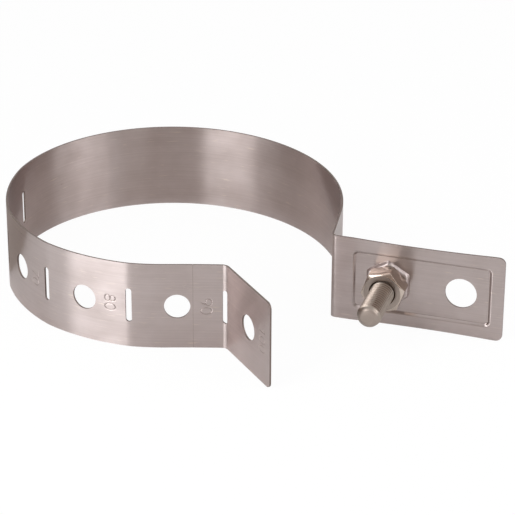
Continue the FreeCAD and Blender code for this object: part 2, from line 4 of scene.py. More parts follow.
import bmesh
import bpy
from bpy.props import FloatProperty, IntProperty, PointerProperty, StringProperty
from mathutils import Matrix, Vector


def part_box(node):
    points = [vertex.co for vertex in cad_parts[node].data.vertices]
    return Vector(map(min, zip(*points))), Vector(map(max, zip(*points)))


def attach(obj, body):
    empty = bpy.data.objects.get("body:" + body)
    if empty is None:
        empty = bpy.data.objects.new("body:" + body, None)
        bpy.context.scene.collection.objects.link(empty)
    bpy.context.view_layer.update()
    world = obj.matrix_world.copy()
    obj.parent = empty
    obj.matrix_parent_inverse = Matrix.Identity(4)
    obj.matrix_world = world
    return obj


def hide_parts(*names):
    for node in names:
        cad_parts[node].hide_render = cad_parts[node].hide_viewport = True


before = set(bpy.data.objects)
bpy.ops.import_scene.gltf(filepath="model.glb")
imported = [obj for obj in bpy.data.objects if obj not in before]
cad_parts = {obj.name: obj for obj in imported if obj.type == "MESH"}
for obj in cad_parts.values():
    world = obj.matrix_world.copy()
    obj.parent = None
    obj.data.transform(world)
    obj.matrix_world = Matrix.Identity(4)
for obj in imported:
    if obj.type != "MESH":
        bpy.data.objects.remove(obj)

bl_info = {
    "name": "Downpipe clamp",
    "version": (1, 0, 0),
    "blender": (4, 5, 0),
    "location": "View3D > Sidebar > Clamp",
    "description": "Folded strip, bolt and nut of an adjustable downpipe clamp",
    "category": "Add Mesh",
}

MM = 0.001
# Points nearer than this are one, on a cut mesh and on a new one
SNAP, WELD = 0.005 * MM, 0.001 * MM
# An edge that strays further than this from both axes is no grid line
SLANT = 0.0002 * MM

# Material slots after the first one of the strip, the bolt and the nut. The strip's third slot is painted shade in
# the stamped figures, at the panel's foot and in the crease.
SHEARED, SHADED_LINES = 1, 2
# The bolt's third slot is painted shade on the flanks and roots of its thread
CROPPED, SHADED_VALLEY = 1, 2
TURNED = 1

# Edges sharper than these are shaded sharp, or rounded on the head and the nut
SHARP, THREAD_SHARP, ROUNDED = math.radians(40), math.radians(30), math.radians(20)

# Pipe sizes from the flap back along the strip, each stamped this many slot pitches past its slot
PIPE_SIZES = ("100", "90", "80", "70", "60")
FIGURE_PLACE = 0.8
# Beyond this many figure heights from its middle a figure leaves no mark
FIGURE_LIMIT = 0.75

# Steps of the outlines of the flat blank
HOLE_STEPS, SLOT_STEPS, WAIST_STEPS = 64, 12, 40
FLANGE_CORNER_STEPS, FLAP_CORNER_STEPS = 10, 8

# Grid that is cut into the flat blank: its steps, and its cuts in each short run, the width and the crease
STRIP_GRID, PANEL_GRID, FLOOR_GRID = 1.6 * MM, 0.2 * MM, 3 * MM
BOSS_GRID, FIGURE_GRID = 0.18 * MM, 0.12 * MM
RUN_CUTS, WIDTH_CUTS, CREASE_CUTS = 12, 12, 7

# Reach of the finer grids: outside the pressed panel and inside it, and as shares of the hexagon and of a figure
PANEL_ROOM, PANEL_FOOT = 0.4 * MM, 1.4 * MM
BOSS_REACH, FIGURE_REACH = 0.65, 0.62

# Widths of the darker lines of painted shade along the crease and along the foot of the panel's wall
CREASE_LINE, PANEL_LINE = 0.06 * MM, 0.3 * MM

# Bolt: length under the head, shank inside the head, growth of the tip's radius, cropped end, start of the valleys
BOLT_LENGTH, HEAD_OVERLAP = 25 * MM, 0.05 * MM
TIP_SLOPE, END_LENGTH, VALLEY_DEPTH = 1.2, 0.8 * MM, 0.1 * MM

# A face of the nut whose normal lies this close to the bolt's axis is one of its two ends
FACE_ON = 0.99

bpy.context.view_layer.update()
STRIP_LOW, STRIP_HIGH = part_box("clamp_strip")
BOLT_LOW, BOLT_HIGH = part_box("hex_bolt")


def linear(hex_colour):
    """Linear red, green, blue and alpha of an sRGB hex colour."""
    channels = [int(hex_colour[i:i + 2], 16) / 255 for i in (1, 3, 5)]
    return [c / 12.92 if c <= 0.04045 else ((c + 0.055) / 1.055) ** 2.4 for c in channels] + [1.0]


def length(name, default_mm, description):
    """A property that holds one length, given in millimetres."""
    return FloatProperty(name=name, description=description, default=default_mm * MM, unit="LENGTH", precision=5)


def angle(name, default_deg, description):
    """A property that holds one angle, given in degrees."""
    return FloatProperty(name=name, description=description, default=math.radians(default_deg), subtype="ANGLE")


class ClampStripSizes(bpy.types.PropertyGroup):
    """Sizes of the strip: its bends, its punching and its pressed panel."""
    thickness: length("Thickness", 0.6, "Sheet thickness")
    ring_radius: length("Ring radius", 55.0, "Mid-sheet radius of the ring")
    ring_sweep: angle("Ring sweep", 197.8, "Angle of the ring")
    shoulder_radius: length("Shoulder radius", 60.0, "Mid-sheet radius between ring and leg")
    shoulder_sweep: angle("Shoulder sweep", 82.7, "Angle of that flatter part")
    leg_length: length("Leg", 17.9, "Shoulder to the corner of the flange fold")
    flange_turn: angle("Flange fold", 82.7, "Turn of the flange fold")
    flange_bend: length("Flange fold radius", 1.5, "Mid-sheet radius of the flange fold")
    flange_length: length("Flange", 57.8, "Corner of the fold to the free edge")
    flat_length: length("Front flat", 19.5, "Ring to the corner of the flap fold")
    flap_turn: angle("Flap fold", 63.2, "Turn of the flap fold")
    flap_bend: length("Flap fold radius", 2.5, "Mid-sheet radius of the flap fold")
    pipe_step: length("Pipe step", 10.0, "Step in pipe size from slot to slot")
    slot_width: length("Slot width", 2.0, "Width of a fold slot")
    slot_length: length("Slot length", 12.0, "Length of a fold slot")
    hole: length("Strip hole", 8.5, "Diameter of the holes between the slots")
    flange_hole: length("Flange hole", 10.5, "Diameter of the free hole")
    flange_hole_margin: length("Flange hole margin", 14.4, "Hole centre to the free edge")
    bolt_spacing: length("Bolt spacing", 24.5, "Bolt axis to the free hole")
    flange_corner: length("Flange corners", 2.2, "Corner radius of the flange")
    flap_corner: length("Flap corners", 2.0, "Corner radius of the flap")
    flange_waist: length("Flange waist", 0.45, "How far the long edges are drawn in")
    panel_length: length("Panel length", 46.8, "Pressed panel along the flange")
    panel_height: length("Panel height", 21.3, "Pressed panel across the flange")
    panel_margin: length("Panel margin", 4.1, "Panel to the free edge")
    panel_corner: length("Panel corners", 2.0, "Corner radius of the panel")
    panel_depth: length("Panel depth", 0.8, "How far the panel is pressed back")
    panel_wall: length("Panel wall", 0.9, "Width of the panel's sloping wall")
    boss_width: length("Boss width", 13.4, "Across the flats of the pressed hexagon, mid-sheet")
    boss_height: length("Boss height", 1.2, "How far the hexagon is pressed forward")
    boss_wall: length("Boss wall", 0.9, "Width of the hexagon's wall")
    boss_sharpness: FloatProperty(name="Boss sharpness", description="Sharpness of its corners", default=24.0)
    slot_kink: length("Slot kink", 0.32, "How far the strip is flatter between slots")
    crease_offset: length("Crease", 10.6, "Faint crease of the front flat to the middle of the flap fold")
    crease_depth: length("Crease depth", 0.03, "Depth of that crease")
    crease_width: length("Crease width", 0.8, "Width of that crease")
    figure_height: length("Figure height", 3.7, "Height of the stamped figures")
    figure_step: length("Figure step", 3.1, "From one figure to the next")
    figure_stroke: length("Figure stroke", 0.32, "Width of a stamped line")
    figure_depth: length("Figure depth", 0.1, "Depth of a stamped line")


class ClampBoltSizes(bpy.types.PropertyGroup):
    """Sizes of the bolt's thread and of the nut's edges."""
    pitch: length("Pitch", 1.25, "Thread pitch")
    crest_diameter: length("Crest diameter", 7.94, "Over the crests")
    root_diameter: length("Root diameter", 6.6, "At the roots")
    tip_diameter: length("Tip diameter", 5.0, "Flat at the tip")
    edge: length("Edge", 0.18, "Rounding of the hexagon edges")
    turn_steps: IntProperty(name="Steps", description="Steps in one turn of the thread", default=64)


class ClampColours(bpy.types.PropertyGroup):
    """Colours of the steel and the stage, as sRGB hex values."""
    strip: StringProperty(name="Strip", description="Rolled stainless strip", default="#c3b8b6")
    strip_shade: StringProperty(name="Strip shade", description="Duller patches of the strip", default="#b4a8a5")
    edge: StringProperty(name="Cut edge", description="Sheared edges of the strip", default="#7d706b")
    bolt: StringProperty(name="Bolt", description="Rolled thread and pressed head", default="#b4a89e")
    nut: StringProperty(name="Nut", description="Pressed sides of the nut", default="#c0b3a8")
    # Darker flanks and roots of the thread: painted shade in the valleys, on a duller finish
    valley_shade: StringProperty(name="Thread valley", description="Dull valleys of the thread", default="#9c9188")
    line_shade: StringProperty(name="Stamp", description="Dull stamped and creased lines", default="#8f827c")
    # Painted shade of the stamped figures, the panel's foot and the crease, on a duller finish
    bolt_end: StringProperty(name="Bolt end", description="Cropped bolt end and nut faces", default="#9e928a")
    scratch: StringProperty(name="Scratch", description="Light scratches of the strip", default="#d6cabf")
    floor: StringProperty(name="Floor", description="Pale floor and backdrop", default="#ffffff")
    card: StringProperty(name="Card", description="Paler card in front of the set", default="#b0a29a")
    # Grey sheet that only reflections see: painted shade of the floor inside the ring
    mat: StringProperty(name="Mat", description="Paper laid in the ring", default="#e6e0dc")
    side_mat: StringProperty(name="Side mat", description="Paper laid beside the ring", default="#bbb3ad")
    cloth: StringProperty(name="Cloth", description="Brown cloth beside the set", default="#83675c")


def node(tree, kind, links=(), **settings):
    """Adds a node with its settings and the links into it."""
    made = tree.nodes.new(kind)
    for name, value in settings.items():
        if name.startswith("in_"):
            key = name[3:].replace("_", " ")
            made.inputs[int(key) if key.isdigit() else key].default_value = value
        else:
            setattr(made, name, value)
    for socket, source in links:
        tree.links.new(source, made.inputs[socket])
    return made


def new_material(name):
    """An empty node material and its output."""
    material = bpy.data.materials.new(name)
    material.use_nodes = True
    material.node_tree.nodes.clear()
    output = material.node_tree.nodes.new("ShaderNodeOutputMaterial")
    return material, material.node_tree, output


def rolled_stainless(colours):
    """Cold-rolled stainless strip: fine lines along the strip draw every reflection out across it."""
    material, tree, output = new_material("cold_rolled_stainless_strip")
    place = node(tree, "ShaderNodeUVMap", uv_map="along_strip")
    # Rolling lines 0.5 mm apart and about 40 mm long, drawn coarser than they are so that they show
    lines = node(tree, "ShaderNodeMapping", [("Vector", place.outputs["UV"])],
                 in_Scale=(1 / (40 * MM), 1 / (0.5 * MM), 1))
    streaks = node(tree, "ShaderNodeTexNoise", [("Vector", lines.outputs["Vector"])], in_Scale=1.0, in_Detail=3.0)
    # Duller patches about 10 mm across, from handling
    patches = node(tree, "ShaderNodeMapping", [("Vector", place.outputs["UV"])],
                   in_Scale=(1 / (12 * MM), 1 / (9 * MM), 1))
    smudge = node(tree, "ShaderNodeTexNoise", [("Vector", patches.outputs["Vector"])], in_Scale=1.0, in_Detail=3.0)
    both = node(tree, "ShaderNodeMix", [("A", streaks.outputs["Fac"]), ("B", smudge.outputs["Fac"])], in_Factor=0.6)
    spread = node(tree, "ShaderNodeMapRange", [("Value", both.outputs["Result"])],
                  in_From_Min=0.35, in_From_Max=0.65)
    tint = node(tree, "ShaderNodeMix", [("Factor", spread.outputs["Result"])], data_type="RGBA",
                in_6=linear(colours.strip_shade), in_7=linear(colours.strip))
    # Sparse scratches along the strip, about 10 mm long and drawn 0.4 mm wide
    scored = node(tree, "ShaderNodeMapping", [("Vector", place.outputs["UV"])],
                  in_Rotation=(0, 0, 0.12), in_Scale=(1 / (6 * MM), 1 / (0.7 * MM), 1))
    scratch = node(tree, "ShaderNodeTexNoise", [("Vector", scored.outputs["Vector"])], in_Scale=1.0, in_Detail=2.0)
    scratch = node(tree, "ShaderNodeMapRange", [("Value", scratch.outputs["Fac"])],
                   in_From_Min=0.63, in_From_Max=0.75, in_To_Min=0.0, in_To_Max=0.6)
    tint = node(tree, "ShaderNodeMix", [("Factor", scratch.outputs["Result"]), (6, tint.outputs[2])],
                data_type="RGBA", in_7=linear(colours.scratch))
    rough = node(tree, "ShaderNodeMapRange", [("Value", both.outputs["Result"])],
                 in_From_Min=0.3, in_From_Max=0.7, in_To_Min=0.27, in_To_Max=0.34)
    rough = node(tree, "ShaderNodeMath", [(0, scratch.outputs["Result"]), (2, rough.outputs["Result"])],
                 operation="MULTIPLY_ADD", in_1=0.15)
    bump = node(tree, "ShaderNodeBump", [("Height", streaks.outputs["Fac"])],
                in_Strength=0.12, in_Distance=0.02 * MM)
    along = node(tree, "ShaderNodeTangent", direction_type="UV_MAP", uv_map="along_strip")
    shader = node(tree, "ShaderNodeBsdfPrincipled", [
        ("Base Color", tint.outputs[2]), ("Roughness", rough.outputs["Value"]), ("Normal", bump.outputs["Normal"]),
        ("Tangent", along.outputs["Tangent"]),
    ], in_Metallic=1.0, in_Anisotropic=1.0, in_Anisotropic_Rotation=0.25)
    tree.links.new(shader.outputs["BSDF"], output.inputs["Surface"])
    return material


def tooled_and_shaded_stainless(name, colour):
    """Dull stainless darker than the rolled face: the torn cut edges, and painted shade in the stamped figures, at
    the panel's foot and in the crease.
    """
    material, tree, output = new_material(name)
    place = node(tree, "ShaderNodeTexCoord")
    # Tearing marks about 0.4 mm apart
    marks = node(tree, "ShaderNodeTexNoise", [("Vector", place.outputs["Object"])],
                 in_Scale=1 / (0.4 * MM), in_Detail=2.0)
    rough = node(tree, "ShaderNodeMapRange", [("Value", marks.outputs["Fac"])],
                 in_From_Min=0.3, in_From_Max=0.7, in_To_Min=0.45, in_To_Max=0.65)
    shader = node(tree, "ShaderNodeBsdfPrincipled", [("Roughness", rough.outputs["Result"])],
                  in_Metallic=1.0, in_Base_Color=linear(colour))
    tree.links.new(shader.outputs["BSDF"], output.inputs["Surface"])
    return material


def bright_stainless(name, colour, smoothest, dullest):
    """Bright stainless of rolled threads and pressed hexagons: a soft even shine with faint tool marks."""
    material, tree, output = new_material(name)
    place = node(tree, "ShaderNodeTexCoord")
    # Tool marks about 0.6 mm across
    marks = node(tree, "ShaderNodeTexNoise", [("Vector", place.outputs["Object"])],
                 in_Scale=1 / (0.6 * MM), in_Detail=2.0)
    rough = node(tree, "ShaderNodeMapRange", [("Value", marks.outputs["Fac"])],
                 in_From_Min=0.3, in_From_Max=0.7, in_To_Min=smoothest, in_To_Max=dullest)
    shader = node(tree, "ShaderNodeBsdfPrincipled", [("Roughness", rough.outputs["Result"])],
                  in_Metallic=1.0, in_Base_Color=linear(colour))
    tree.links.new(shader.outputs["BSDF"], output.inputs["Surface"])
    return material


def heading(turned):
    """Unit vector at an angle in plan."""
    return Vector((math.cos(turned), math.sin(turned), 0))


class StripPath:
    """Plan of the bent strip, from the flange's free edge to the flap's end: where a point of the blank goes."""

    def __init__(self, sizes):
        pitch = sizes.pipe_step * math.pi
        flange_tangent = sizes.flange_bend * math.tan(sizes.flange_turn / 2)
        flap_tangent = sizes.flap_bend * math.tan(sizes.flap_turn / 2)
        half_fold = sizes.flap_bend * sizes.flap_turn / 2
        runs = [
            (sizes.flange_length - flange_tangent, 0.0),
            (sizes.flange_bend * sizes.flange_turn, -sizes.flange_turn),
            (sizes.leg_length - flange_tangent, 0.0),
            (sizes.shoulder_radius * sizes.shoulder_sweep, sizes.shoulder_sweep),
            (sizes.ring_radius * sizes.ring_sweep, sizes.ring_sweep),
            (sizes.flat_length - flap_tangent, 0.0),
            (sizes.flap_bend * sizes.flap_turn, -sizes.flap_turn),
            (pitch - sizes.slot_width / 2 - half_fold, 0.0),
        ]
        self.spans = []
        start = 0.0
        point = Vector((0, 0, 0))
        course = math.pi
        for run, turn in runs:
            self.spans.append((start, run, turn, point.copy(), course))
            point = self.along(self.spans[-1], run)[0]
            start += run
            course += turn
        self.total = start
        ring = self.spans[4]
        centre = ring[3] + heading(ring[4] + math.pi / 2) * sizes.ring_radius
        self.spans = [(s, r, t, p - centre, c) for s, r, t, p, c in self.spans]
        self.fold = self.spans[6][0] + half_fold
        self.crease = self.fold - sizes.crease_offset
        self.pitch = pitch

    @staticmethod
    def along(span, distance):
        """Point and course a distance into one run."""
        start, run, turn, point, course = span
        if turn == 0:
            return point + heading(course) * distance, course
        radius = run / turn
        centre = point + heading(course + math.pi / 2) * radius
        turned = course + distance / radius
        return centre - heading(turned + math.pi / 2) * radius, turned

    def place(self, distance, height, lift):
        """A point of the blank: its distance from the free edge, its height, and its lift to the ring's inside."""
        span = next((s for s in reversed(self.spans) if distance >= s[0]), self.spans[0])
        point, course = self.along(span, distance - span[0])
        point = point + heading(course + math.pi / 2) * lift
        return Vector((point.x, point.y, height))


FIGURES = {
    "0": [("oval", 0.0, 0.0, 0.31, 0.5)],
    "1": [("line", 0.05, -0.5, 0.05, 0.5), ("line", 0.05, 0.5, -0.2, 0.3)],
    "6": [("oval", 0.0, -0.2, 0.31, 0.3), ("line", -0.31, -0.2, -0.02, 0.5)],
    "7": [("line", -0.31, 0.5, 0.31, 0.5), ("line", 0.31, 0.5, -0.08, -0.5)],
    "8": [("oval", 0.0, 0.25, 0.25, 0.25), ("oval", 0.0, -0.24, 0.31, 0.26)],
    "9": [("oval", 0.0, 0.2, 0.31, 0.3), ("line", 0.31, 0.2, 0.02, -0.5)],
}


def stroke_distance(stroke, x, y):
    """Distance of a point from one stroke of a figure, in figure heights."""
    kind, a, b, c, d = stroke
    if kind == "line":
        along = Vector((c - a, d - b))
        t = max(0.0, min(1.0, Vector((x - a, y - b)).dot(along) / along.length_squared))
        return math.hypot(x - a - along.x * t, y - b - along.y * t)
    reach = math.hypot((x - a) / c, (y - b) / d)
    if reach < 1e-6:
        return min(c, d)
    slope = math.hypot((x - a) / c ** 2, (y - b) / d ** 2) / reach
    return abs(reach - 1) / slope


def bolt_distance(sizes):
    """Distance of the bolt's axis from the flange's free edge."""
    return sizes.flange_hole_margin + sizes.bolt_spacing


def figure_centre(path, i):
    """Distance along the blank of the middle of one stamped pipe size."""
    return path.fold + (FIGURE_PLACE - i) * path.pitch


def ease(t):
    """Smooth step from 0 to 1."""
    t = max(0.0, min(1.0, t))
    return t * t * (3 - 2 * t)


def add_loop(curve, points):
    """A closed outline of straight pieces in a flat curve."""
    spline = curve.splines.new("POLY")
    spline.points.add(len(points) - 1)
    for target, (x, y) in zip(spline.points, points):
        target.co = (x, y, 0, 1)
    spline.use_cyclic_u = True


def arc_points(x, y, radius, first, last, steps):
    """Points along an arc, angles in degrees."""
    return [(x + radius * math.cos(math.radians(first + (last - first) * i / steps)),
             y + radius * math.sin(math.radians(first + (last - first) * i / steps))) for i in range(steps + 1)]


def hole_points(x, y, diameter):
    """Points round a hole."""
    return arc_points(x, y, diameter / 2, 0, 360 * (HOLE_STEPS - 1) / HOLE_STEPS, HOLE_STEPS - 1)


def cut_lines(bm, axis, low, high, step, faces=None):
    """Cuts the flat blank across one axis at even steps, all over or only some faces, and returns the cut faces."""
    count = max(1, round((high - low) / step))
    normal = Vector((1, 0, 0)) if axis == 0 else Vector((0, 1, 0))
    faces = faces or bm.faces[:]
    geom = list({v for f in faces for v in f.verts}) + list({e for f in faces for e in f.edges}) + faces
    for i in range(count + 1):
        at = low + (high - low) * i / count
        geom = bmesh.ops.bisect_plane(bm, geom=geom, dist=SNAP, plane_co=normal * at, plane_no=normal)["geom"]
    return [part for part in geom if isinstance(part, bmesh.types.BMFace)]


def inside(point, box):
    """Whether a point of the flat blank lies in a box."""
    (x0, y0), (x1, y1) = box
    return x0 < point.x < x1 and y0 < point.y < y1


def fine_cuts(bm, box, step, kept=None):
    """Cuts a fine grid into the flat blank inside a box, apart from a smaller box that is kept."""
    (x0, y0), (x1, y1) = box
    middles = [(face, face.calc_center_median()) for face in bm.faces]
    faces = [face for face, c in middles if inside(c, box) and not (kept and inside(c, kept))]
    faces = cut_lines(bm, 0, x0, x1, step, faces)
    cut_lines(bm, 1, y0, y1, step, faces)


def join_slivers(bm):
    """Joins the slivers that filling the outline left, so that each cell of the grid is one face."""
    slanted = [e for e in bm.edges if len(e.link_faces) == 2
               and min(abs(a - b) for a, b in zip(e.verts[0].co.xy, e.verts[1].co.xy)) > SLANT]
    bmesh.ops.dissolve_edges(bm, edges=slanted, use_verts=False)
    spare = [v for v in bm.verts if len(v.link_edges) == 2 and not v.is_boundary]
    bmesh.ops.dissolve_verts(bm, verts=spare)


def finish_piece(name, bm, material):
    """Makes a mesh piece of a bmesh, with its material, on the body."""
    mesh = bpy.data.meshes.new(name)
    bm.to_mesh(mesh)
    bm.free()
    piece = bpy.data.objects.new(name, mesh)
    bpy.context.scene.collection.objects.link(piece)
    mesh.materials.append(material)
    for polygon in mesh.polygons:
        polygon.use_smooth = True
    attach(piece, "root")
    return piece


def apply_modifiers(context, piece):
    """Turns a piece's modifiers into mesh."""
    context.view_layer.update()
    rough = piece.data
    piece.data = bpy.data.meshes.new_from_object(piece.evaluated_get(context.evaluated_depsgraph_get()))
    piece.modifiers.clear()
    bpy.data.meshes.remove(rough)


def flat_blank(sizes, path, width):
    """The punched blank as a flat sheet: distance along the strip and height."""
    curve = bpy.data.curves.new("flat_blank", "CURVE")
    curve.dimensions = "2D"
    curve.fill_mode = "BOTH"
    mid = width / 2
    total = path.total
    panel_left = sizes.panel_margin
    panel_right = sizes.panel_margin + sizes.panel_length
    waist_radius = sizes.panel_length ** 2 / 8 / sizes.flange_waist + sizes.flange_waist / 2
    spread = math.degrees(math.asin(sizes.panel_length / 2 / waist_radius))
    waist_x = (panel_left + panel_right) / 2
    r, q = sizes.flange_corner, sizes.flap_corner
    lower = arc_points(waist_x, sizes.flange_waist - waist_radius, waist_radius,
                       90 + spread, 90 - spread, WAIST_STEPS)
    upper = arc_points(waist_x, width - sizes.flange_waist + waist_radius, waist_radius,
                       270 + spread, 270 - spread, WAIST_STEPS)
    add_loop(curve, arc_points(r, r, r, 180, 270, FLANGE_CORNER_STEPS) + lower
             + arc_points(total - q, q, q, 270, 360, FLAP_CORNER_STEPS)
             + arc_points(total - q, width - q, q, 0, 90, FLAP_CORNER_STEPS)
             + upper + arc_points(r, width - r, r, 90, 180, FLANGE_CORNER_STEPS))
    w = sizes.slot_width / 2
    reach = sizes.slot_length / 2 - w
    for i in range(len(PIPE_SIZES)):
        s = path.fold - i * path.pitch
        add_loop(curve, arc_points(s, mid + reach, w, 0, 180, SLOT_STEPS)
                 + arc_points(s, mid - reach, w, 180, 360, SLOT_STEPS))
        s += path.pitch / 2
        add_loop(curve, hole_points(s, mid, sizes.hole))
    add_loop(curve, hole_points(sizes.flange_hole_margin, mid, sizes.flange_hole))
    add_loop(curve, hole_points(bolt_distance(sizes), mid, sizes.hole))
    holder = bpy.data.objects.new("flat_blank", curve)
    bm = bmesh.new()
    mesh = bpy.data.meshes.new_from_object(holder)
    bm.from_mesh(mesh)
    bpy.data.objects.remove(holder)
    bpy.data.curves.remove(curve)
    bpy.data.meshes.remove(mesh)
    bmesh.ops.remove_doubles(bm, verts=bm.verts[:], dist=WELD)
    return bm


def panel_inset(sizes, s, z, width):
    """How far a point of the flange lies inside the panel's rounded outline."""
    x = abs(s - sizes.panel_margin - sizes.panel_length / 2) - sizes.panel_length / 2 + sizes.panel_corner
    y = abs(z - width / 2) - sizes.panel_height / 2 + sizes.panel_corner
    return sizes.panel_corner - math.hypot(max(x, 0), max(y, 0)) - min(max(x, y), 0)


def pressed_lift(sizes, s, z, width):
    """Lift of the flange's sheet where the panel is pressed back and the hexagon forward."""
    lift = -sizes.panel_depth * ease(panel_inset(sizes, s, z, width) / sizes.panel_wall)
    from_axis = Vector((s - bolt_distance(sizes), z - width / 2))
    spans = [abs(from_axis.dot(heading(math.radians(turn)).xy)) for turn in (0, 60, 120)]
    # A high power of the three spans gives a hexagon with rounded corners
    power = sizes.boss_sharpness
    from_flat = sum((span / sizes.boss_width) ** power for span in spans) ** (1 / power) * sizes.boss_width
    from_flat -= sizes.boss_width / 2
    return lift + sizes.boss_height * ease(-from_flat / sizes.boss_wall + 0.5)


def figure_lift(sizes, path, s, z, width):
    """Lift where a pipe size is stamped into the outer face."""
    for i, text in enumerate(PIPE_SIZES):
        up = (s - figure_centre(path, i)) / sizes.figure_height
        if abs(up) > FIGURE_LIMIT:
            continue
        for j, figure in enumerate(text):
            middle = (j - (len(text) - 1) / 2) * sizes.figure_step
            across = ((width / 2 - z) - middle) / sizes.figure_height
            if abs(across) < sizes.figure_step / sizes.figure_height / 2:
                near = min(stroke_distance(stroke, across, up) for stroke in FIGURES[figure]) * sizes.figure_height
                # Flat over a third of the line's width, with walls that run out beyond it
                return sizes.figure_depth * ease(1.25 - near / (sizes.figure_stroke / 2) * 0.75)
    return 0.0


def strip_lift(sizes, path, s, z, width):
    """Lift of a point of the blank: pressed and stamped forms, flatter runs between slots, and the crease."""
    lift = pressed_lift(sizes, s, z, width) + figure_lift(sizes, path, s, z, width)
    if path.fold - (len(PIPE_SIZES) - 1) * path.pitch < s < path.fold:
        phase = abs(((path.fold - s) / path.pitch + 0.5) % 1 - 0.5) * 2
        lift += sizes.slot_kink * (1 - (1 - phase) ** 2)
    return lift + sizes.crease_depth * ease(1 - abs(s - path.crease) / (sizes.crease_width / 2))


def shaded_line(sizes, path, s, z, width):
    """Whether a point of the blank gets painted shade: in a stamped figure, at the foot of the panel's wall or in
    the crease.
    """
    figure = figure_lift(sizes, path, s, z, width) > sizes.figure_depth / 2
    foot = abs(panel_inset(sizes, s, z, width) - sizes.panel_wall) < PANEL_LINE / 2
    return figure or foot or abs(s - path.crease) < CREASE_LINE / 2


def fine_boxes(sizes, path, width):
    """Boxes of the blank that get a finer grid: low and high corner, step, and a box inside that is left out."""
    mid = width / 2
    panel_end = sizes.panel_margin + sizes.panel_length
    half = sizes.panel_height / 2
    panel = ((sizes.panel_margin - PANEL_ROOM, mid - half - PANEL_ROOM),
             (panel_end + PANEL_ROOM, mid + half + PANEL_ROOM))
    floor = ((sizes.panel_margin + PANEL_FOOT, mid - half + PANEL_FOOT),
             (panel_end - PANEL_FOOT, mid + half - PANEL_FOOT))
    bolt_s = bolt_distance(sizes)
    reach = sizes.boss_width * BOSS_REACH
    boss = ((bolt_s - reach, mid - reach), (bolt_s + reach, mid + reach))
    boxes = [(panel, PANEL_GRID, floor), (floor, FLOOR_GRID, boss), (boss, BOSS_GRID, None)]
    for i, text in enumerate(PIPE_SIZES):
        centre = figure_centre(path, i)
        half = len(text) * sizes.figure_step / 2
        tall = sizes.figure_height * FIGURE_REACH
        boxes.append((((centre - tall, mid - half), (centre + tall, mid + half)), FIGURE_GRID, None))
    return boxes


class CLAMP_OT_strip(bpy.types.Operator):
    """Cuts the flat blank, presses and stamps it, and bends it into the ring."""
    bl_idname = "clamp.strip"
    bl_label = "Strip"

    def execute(self, context):
        sizes = context.scene.clamp_strip_sizes
        colours = context.scene.clamp_colours
        width = STRIP_HIGH[2] - STRIP_LOW[2]
        path = StripPath(sizes)
        bm = flat_blank(sizes, path, width)
        fine = fine_boxes(sizes, path, width)
        for (low, high), step, kept in fine:
            for axis in (0, 1):
                cut_lines(bm, axis, low[axis], high[axis], high[axis] - low[axis])
        for start, run, turn, point, course in path.spans:
            cut_lines(bm, 0, start, start + run, min(run / RUN_CUTS, STRIP_GRID))
        cut_lines(bm, 1, 0, width, width / WIDTH_CUTS)
        half_crease = sizes.crease_width / 2
        cut_lines(bm, 0, path.crease - half_crease, path.crease + half_crease, sizes.crease_width / CREASE_CUTS)
        join_slivers(bm)
        for box, step, kept in fine:
            fine_cuts(bm, box, step, kept)
        bmesh.ops.remove_doubles(bm, verts=bm.verts[:], dist=SNAP)
        bmesh.ops.dissolve_degenerate(bm, edges=bm.edges[:], dist=SNAP / 2)
        uv = bm.loops.layers.uv.new("along_strip")
        for face in bm.faces:
            for loop in face.loops:
                loop[uv].uv = loop.vert.co.xy
        # The stamped figures, the panel's foot and the crease get the darker colour: painted shade
        for face in bm.faces:
            s, z = face.calc_center_median().xy
            if shaded_line(sizes, path, s, z, width):
                face.material_index = SHADED_LINES
        for vert in bm.verts:
            s, z = vert.co.xy
            vert.co = path.place(s, z, strip_lift(sizes, path, s, z, width))
        piece = finish_piece("strip_sheet", bm, rolled_stainless(colours))
        wall = piece.modifiers.new("thickness", "SOLIDIFY")
        wall.thickness = sizes.thickness
        wall.offset = 0.0
        wall.material_offset_rim = SHEARED
        piece.data.materials.append(tooled_and_shaded_stainless("sheared_stainless_edge", colours.edge))
        piece.data.materials.append(tooled_and_shaded_stainless("stamped_lines_painted_shade", colours.line_shade))
        apply_modifiers(context, piece)
        # The darker lines of painted shade are on the outer face only
        for polygon in piece.data.polygons:
            if polygon.material_index == SHADED_LINES and polygon.normal.dot(polygon.center * Vector((1, 1, 0))) < 0:
                polygon.material_index = 0
        piece.data.set_sharp_from_angle(angle=SHARP)
        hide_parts("clamp_strip")
        return {"FINISHED"}


def merged_copy(node_name):
    """A merged copy of a node's mesh, with flat faces joined again."""
    bm = bmesh.new()
    bm.from_mesh(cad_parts[node_name].data)
    bmesh.ops.remove_doubles(bm, verts=bm.verts[:], dist=WELD)
    bmesh.ops.dissolve_limit(bm, angle_limit=math.radians(0.5), verts=bm.verts[:], edges=bm.edges[:])
    return bm


def soften(bm, width, steepest):
    """Rounds every edge that is sharper than an angle."""
    edges = [e for e in bm.edges if len(e.link_faces) == 2 and e.calc_face_angle() > steepest]
    bmesh.ops.bevel(bm, geom=edges, offset=width, affect="EDGES", segments=2, profile=0.5, material=-1,
                    clamp_overlap=True)


